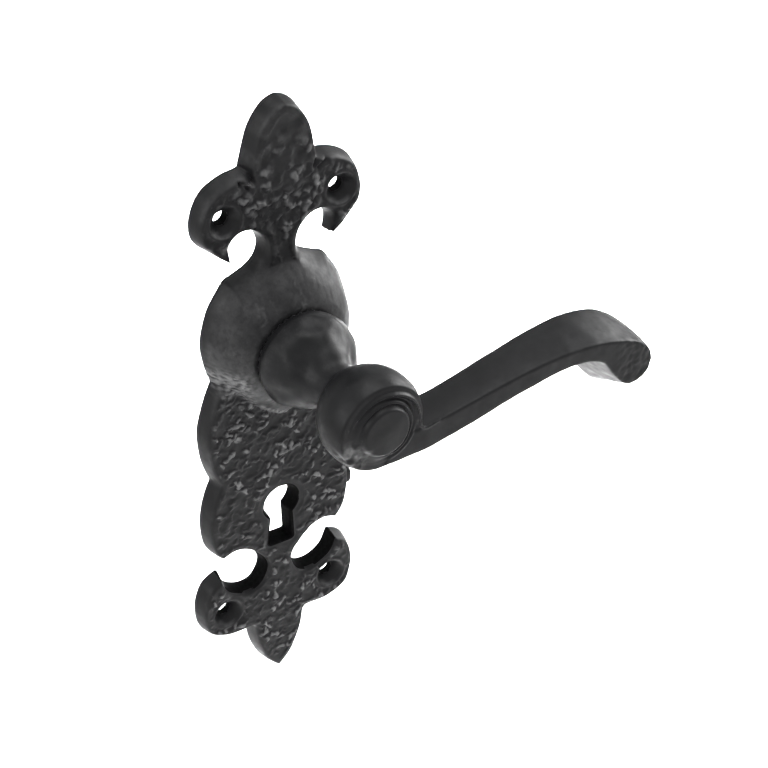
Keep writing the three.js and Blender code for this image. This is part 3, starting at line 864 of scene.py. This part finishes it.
def shank():
    """The journal and tail behind the bell, with flats and a clip groove."""
    low, high = CLIP_GROOVE
    groove_floor = SHANK_RADIUS - CLIP_GROOVE_SINK
    profile = [(0, SHANK_END_DEPTH), (SHANK_RADIUS - 0.4, SHANK_END_DEPTH), (SHANK_RADIUS, 0.7),
               (SHANK_RADIUS, low), (groove_floor, low), (groove_floor, high), (SHANK_RADIUS, high),
               (SHANK_RADIUS, SHANK_TOP_DEPTH), (0, SHANK_TOP_DEPTH)]
    solid = turned("shank", profile, 96)
    half = SHANK_FLATS / 2
    right = block("flat", (half, -FLATS_DEPTH, -9), (9, 1, 9))
    left = block("flat", (-9, -FLATS_DEPTH, -9), (-half, 1, 9))
    cut(solid, right, left)
    return solid


def volute():
    """The arm's crisp top edge runs on round the face as a fading ridge."""
    path = [(20, -54.9, -3.3), (16, -55, -4), (13.6, -55, -4.4), (12.2, -55, -3.4), (11.4, -55.1, -1)]
    for degrees in range(10, 160, 15):
        x, z = polar(11.1 - 0.008 * degrees, degrees)
        path.append((x, -55.2, z))
    path = curve_through(path, 6)
    last = len(path) - 1
    radii = [0.5 * min(1, 0.3 + 3 * i / last, 0.15 + 1.6 * (last - i) / last) for i in range(last + 1)]
    return tube("volute", path, radii, 12)


def cast_lever():
    """The lever as one skin, softened where the arm and the neck meet the ball, with its stepped
    face, the spindle's square socket and the cast surface."""
    obj = hub()
    obj.name = "lever_casting"
    join(obj, arm(), shank(), volute())
    remesh(obj, LEVER_VOXEL)
    points = get_points(obj)
    meet = smooth_step(6, 0, np.abs(np.hypot(points[:, 0], points[:, 2]) - BALL_RADIUS))
    meet *= smooth_step(8, 11, points[:, 0]) * smooth_step(-54.3, -53, points[:, 1])
    neck = smooth_step(3, 0, np.abs(-points[:, 1] - 36.5))
    relax(obj, np.maximum(meet, neck), 12)
    relax(obj, np.full(len(points), 0.5), 2)
    step_face(obj)
    half = SOCKET_SIDE / 2
    cut(obj, block("socket", (-half, -SOCKET_DEPTH, -half), (half, 1, half)))
    points = get_points(obj)
    skin = smooth_step(16, 18, -points[:, 1])
    bell = smooth_step(34, 28, -points[:, 1])
    rough = rough_patch(points)
    swell = noise_at(points, 6, 1.0) * (0.16 + 0.8 * bell) + noise_at(points, 2.5, 5.0) * 0.03
    curl = smooth_step(74, 84, points[:, 0]) * smooth_step(-53, -54.5, points[:, 1])
    pitting = 0.32 * noise_at(points, 1.7, 7.0) + 0.12 * noise_at(points, 0.9, 3.0)
    swell += (rough + 0.7 * curl) * pitting
    # Painted highlights: a light-grey reflection on the ball's rough lower left, and faint light
    # patches on the bell.
    painted_highlight = 0.9 * rough * smooth_step(-0.15, 0.4, noise_at(points, 2.3, 17.0))
    painted_highlight += 0.07 * bell * smooth_step(-0.15, 0.45, noise_at(points, 6, 23.0))
    points += get_normals(obj) * (swell * skin)[:, None]
    low, high = (np.array(corner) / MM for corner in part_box("lever_handle"))
    set_points(obj, np.clip(points, low, high))
    store(obj, "painted_highlight", painted_highlight * skin)
    return obj


# ---------------------------------------------------------------- bearing pieces

def softened(node, width, segments=2):
    """The CAD piece with its sharp edges broken."""
    obj = copy_of_node(node, node + "_finished")
    apply_modifier(obj, "DECIMATE", decimate_type="DISSOLVE", angle_limit=math.radians(0.5))
    apply_modifier(obj, "BEVEL", width=width * MM, segments=segments, limit_method="ANGLE",
                   angle_limit=EDGE_BREAK_ANGLE, harden_normals=False)
    obj.data.shade_smooth()
    obj.data.set_sharp_from_angle(angle=EDGE_BREAK_ANGLE)
    return obj


def wound_spring():
    """The torsion spring: a fixed leg at the front of its coil, and a moving leg at the back."""
    low, high = (np.array(corner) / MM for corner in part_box("return_spring"))
    start_depth = -low[1] - SPRING_WIRE_RADIUS
    end_depth = -high[1] + SPRING_WIRE_RADIUS
    sweep = FIXED_LEG_ANGLE - (MOVING_LEG_ANGLE - 360 * SPRING_TURNS)
    path = [(radius, FIXED_LEG_ANGLE, start_depth) for radius in LEG_RADII]
    for step in range(SPRING_COIL_STEPS + 1):
        along = step / SPRING_COIL_STEPS
        angle = FIXED_LEG_ANGLE - LEG_BEND - along * (sweep - 2 * LEG_BEND)
        depth = start_depth + (end_depth - start_depth) * along
        path.append((SPRING_COIL_RADIUS, angle, depth))
    path += [(radius, MOVING_LEG_ANGLE, end_depth) for radius in reversed(LEG_RADII)]
    points = []
    for radius, degrees, depth in path:
        x, z = polar(radius, degrees)
        points.append((x, -depth, z))
    points = curve_through(points, 3)
    radii = [SPRING_WIRE_RADIUS] * len(points)
    return tube("torsion_spring", points, radii, 14), start_depth, end_depth


# ---------------------------------------------------------------- materials

def material(name, color, metallic, roughness):
    mat = bpy.data.materials.new(name)
    mat.use_nodes = True
    shader = mat.node_tree.nodes["Principled BSDF"]
    shader.inputs["Base Color"].default_value = (*color, 1)
    shader.inputs["Metallic"].default_value = metallic
    shader.inputs["Roughness"].default_value = roughness
    return mat, shader


def node(mat, kind, **settings):
    made = mat.node_tree.nodes.new(kind)
    for key, value in settings.items():
        if key in made.inputs:
            made.inputs[key].default_value = value
        else:
            setattr(made, key, value)
    return made


def link(mat, source, target):
    mat.node_tree.links.new(source, target)


def noise_texture(mat, scale, detail=3.0, stretch=(1, 1, 1)):
    coordinates = node(mat, "ShaderNodeTexCoord")
    mapping = node(mat, "ShaderNodeMapping", Scale=stretch)
    texture = node(mat, "ShaderNodeTexNoise", Scale=scale, Detail=detail)
    link(mat, coordinates.outputs["Object"], mapping.inputs["Vector"])
    link(mat, mapping.outputs["Vector"], texture.inputs["Vector"])
    return texture.outputs["Fac"]


def ramp(mat, value, stops):
    made = node(mat, "ShaderNodeValToRGB")
    elements = made.color_ramp.elements
    while len(elements) < len(stops):
        elements.new(0.5)
    for element, (place, color) in zip(elements, stops):
        element.position = place
        element.color = (*color, 1)
    link(mat, value, made.inputs["Fac"])
    return made.outputs["Color"]


def span(mat, value, low, high, to_low, to_high):
    """Turns the range from low to high into another range."""
    made = node(mat, "ShaderNodeMapRange")
    made.inputs["From Min"].default_value = low
    made.inputs["From Max"].default_value = high
    made.inputs["To Min"].default_value = to_low
    made.inputs["To Max"].default_value = to_high
    link(mat, value, made.inputs["Value"])
    return made.outputs["Result"]


def bump(mat, shader, layers):
    """Stacks bumps of (height socket, depth) into the shader's normal."""
    previous = None
    for height, depth in layers:
        made = node(mat, "ShaderNodeBump", Strength=1.0, Distance=depth * MM)
        link(mat, height, made.inputs["Height"])
        if previous is not None:
            link(mat, previous, made.inputs["Normal"])
        previous = made.outputs["Normal"]
    link(mat, previous, shader.inputs["Normal"])


def powder_coat(name, dark, light, rough, orange_peel):
    """Black powder coat on iron: a faint mottle, a satin sheen that varies, and fine peel."""
    mat, shader = material(name, dark, 0.0, 0.45)
    shader.inputs["Specular IOR Level"].default_value = 0.4
    mottle = noise_texture(mat, 160, 5)
    link(mat, ramp(mat, mottle, [(0.3, dark), (0.7, light)]), shader.inputs["Base Color"])
    sheen = noise_texture(mat, 420, 4)
    link(mat, span(mat, sheen, 0.3, 0.7, *rough), shader.inputs["Roughness"])
    peel = noise_texture(mat, 2600, 2)
    pits = noise_texture(mat, 900, 4)
    bump(mat, shader, [(peel, orange_peel), (pits, orange_peel * 1.5)])
    return mat


def painted_highlight_coat(name, dark, light, rough, orange_peel):
    """The black coat, lightened to grey by painted highlights wherever the stored attribute says: on
    the tops of the relief, on rough patches and elsewhere."""
    mat = powder_coat(name, dark, light, rough, orange_peel)
    shader = mat.node_tree.nodes["Principled BSDF"]
    coat = shader.inputs["Base Color"].links[0].from_socket
    height = node(mat, "ShaderNodeAttribute", attribute_name="painted_highlight").outputs["Fac"]
    speckle = noise_texture(mat, 700, 4)
    amount = node(mat, "ShaderNodeMath", operation="MULTIPLY")
    link(mat, height, amount.inputs[0])
    link(mat, span(mat, speckle, 0.3, 0.6, 0.45, 1.0), amount.inputs[1])
    mixed = node(mat, "ShaderNodeMix", data_type="RGBA")
    # The colour sockets are found by number, because every data type has sockets of these names.
    color_a, color_b, color_result = mixed.inputs[6], mixed.inputs[7], mixed.outputs[2]
    link(mat, amount.outputs[0], mixed.inputs["Factor"])
    link(mat, coat, color_a)
    # The light grey of the painted highlights.
    color_b.default_value = (0.34, 0.34, 0.345, 1)
    link(mat, color_result, shader.inputs["Base Color"])
    return mat


def painted_shade_recess():
    """Painted shade on the walls of the openings: flat black, dull and barely glossy."""
    mat, shader = material("painted_shade_recess", (0.004, 0.004, 0.0045), 0.0, 0.8)
    shader.inputs["Specular IOR Level"].default_value = 0.12
    grain = noise_texture(mat, 900, 4)
    link(mat, ramp(mat, grain, [(0.3, (0.002, 0.002, 0.002)), (0.7, (0.007, 0.007, 0.0075))]),
         shader.inputs["Base Color"])
    bump(mat, shader, [(grain, 0.05)])
    return mat


def bare_steel(name, dark, light, rough, grain):
    """Plated or oiled steel with a drawn grain and a little tarnish."""
    mat, shader = material(name, light, 1.0, 0.35)
    tarnish = noise_texture(mat, 300, 5)
    link(mat, ramp(mat, tarnish, [(0.35, dark), (0.65, light)]), shader.inputs["Base Color"])
    drawn = noise_texture(mat, 500, 4, grain)
    link(mat, span(mat, drawn, 0.3, 0.7, *rough), shader.inputs["Roughness"])
    bump(mat, shader, [(drawn, 0.02)])
    return mat


def moulded_nylon():
    mat, shader = material("moulded_nylon", (0.72, 0.7, 0.64), 0.0, 0.5)
    shader.inputs["Subsurface Weight"].default_value = 0.15
    shader.inputs["Subsurface Scale"].default_value = 0.002
    tint = noise_texture(mat, 220, 3)
    link(mat, ramp(mat, tint, [(0.3, (0.62, 0.6, 0.53)), (0.7, (0.76, 0.74, 0.68))]),
         shader.inputs["Base Color"])
    grain = noise_texture(mat, 3000, 2)
    bump(mat, shader, [(grain, 0.01)])
    return mat


def wear(obj, mat):
    obj.data.materials.clear()
    obj.data.materials.append(mat)


# ---------------------------------------------------------------- stage

def pale_stage():
    """A plain pale floor, well below the handle."""
    bpy.ops.mesh.primitive_plane_add(size=14, location=(0, 0, -0.5))
    floor = bpy.context.object
    floor.name = "floor"
    mat, _ = material("pale_floor", (0.9, 0.9, 0.9), 0.0, 0.9)
    wear(floor, mat)


def area_light(name, place, target, size, energy, spread=180):
    """A softbox aimed at a target, with its energy in watts and its spread in degrees."""
    data = bpy.data.lights.new(name, "AREA")
    data.spread = math.radians(spread)
    data.shape = "RECTANGLE"
    data.size, data.size_y = size
    data.energy = energy
    light = bpy.data.objects.new(name, data)
    bpy.context.scene.collection.objects.link(light)
    light.location = place
    aim = Vector(target) - Vector(place)
    light.rotation_euler = aim.to_track_quat("-Z", "Y").to_euler()


def studio():
    """Soft light all round. Two narrow softboxes brighten the floor that the camera sees."""
    world = bpy.data.worlds.new("studio")
    bpy.context.scene.world = world
    world.use_nodes = True
    background = world.node_tree.nodes["Background"]
    background.inputs["Color"].default_value = (1, 1, 1, 1)
    background.inputs["Strength"].default_value = 0.42
    bpy.context.scene.view_settings.view_transform = "Standard"
    area_light("overhead_softbox", (0.2, 0.1, 2.2), (0, 0, 0), (1.6, 1.6), 12)
    area_light("floor_softbox", (0.8, 1.4, 0.9), (0.66, 0.95, -0.5), (1.0, 1.0), 38, 38)
    area_light("under_softbox", (0.8, 1.4, 0.9), (0.08, 0.14, -0.5), (0.4, 0.4), 1.8, 16)
    area_light("right_softbox", (1.3, 0.1, 0.35), (0, 0, 0), (0.9, 0.9), 14)
    area_light("left_softbox", (-1.2, 0.0, 0.5), (0, 0, 0), (0.8, 0.8), 3)


def camera():
    """The view is set by the direction back to the camera: its azimuth, elevation and roll."""
    azimuth, elevation, roll = map(math.radians, (CAMERA_AZIMUTH, CAMERA_ELEVATION, CAMERA_ROLL))
    back = Vector((math.sin(azimuth) * math.cos(elevation),
                   -math.cos(azimuth) * math.cos(elevation), math.sin(elevation)))
    right = Vector((math.cos(azimuth), math.sin(azimuth), 0))
    up = back.cross(right)
    tilted_right = right * math.cos(roll) + up * math.sin(roll)
    tilted_up = up * math.cos(roll) - right * math.sin(roll)
    data = bpy.data.cameras.new("camera")
    data.lens = CAMERA_LENS
    data.sensor_width = 36
    view = bpy.data.objects.new("camera", data)
    bpy.context.scene.collection.objects.link(view)
    view.matrix_world = (Matrix.Translation(CAMERA_PLACE)
                         @ Matrix((tilted_right, tilted_up, back)).transposed().to_4x4())
    bpy.context.scene.camera = view


# ---------------------------------------------------------------- assembly

def main():
    camera()
    studio()
    pale_stage()

    hammered = painted_highlight_coat("hammered_black", (0.011, 0.0113, 0.0125), (0.02, 0.0205, 0.022),
                           (0.36, 0.5), 0.02)
    recess = painted_shade_recess()
    satin = painted_highlight_coat("satin_black", (0.01, 0.0103, 0.0115), (0.017, 0.0175, 0.019),
                        (0.33, 0.5), 0.012)
    zinc = bare_steel("zinc_plate", (0.42, 0.43, 0.42), (0.62, 0.62, 0.6), (0.28, 0.45), (1, 6, 1))
    sprung = bare_steel("spring_steel", (0.16, 0.16, 0.17), (0.32, 0.32, 0.33), (0.25, 0.4), (1, 1, 8))
    blacked = bare_steel("blackened_steel", (0.02, 0.02, 0.022), (0.05, 0.05, 0.055),
                         (0.35, 0.5), (1, 1, 1))
    nylon = moulded_nylon()

    plate = cast_backplate()
    plate.data.shade_smooth()
    plate.data.set_sharp_from_angle(angle=math.radians(60))
    wear(plate, hammered)
    plate.data.materials.append(recess)
    mark_recesses(plate)
    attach(plate, "plate")
    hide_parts("backplate")

    lever = cast_lever()
    wear(lever, satin)
    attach(lever, "lever")
    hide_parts("lever_handle")

    spring, start_depth, end_depth = wound_spring()
    spring.data.shade_smooth()
    wear(spring, sprung)
    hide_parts("return_spring")
    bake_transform(spring)

    for name, mat, slot, body in [
        ("drive_plate", zinc, "plated_steel", "lever"),
        ("spindle", zinc, "plated_steel", "lever"),
        ("circlip", sprung, "spring_steel", "lever"),
        ("bearing_bush", nylon, "nylon", "plate"),
        ("thrust_washer", blacked, "blackened_steel", "plate"),
        ("rest_stop_pin", zinc, "plated_steel", "plate"),
        ("travel_stop_pin", zinc, "plated_steel", "plate"),
        ("spring_anchor_pin", zinc, "plated_steel", "plate"),
    ]:
        piece = softened(name, EDGE_BREAK)
        wear(piece, mat)
        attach(piece, body)
        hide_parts(name)


main()
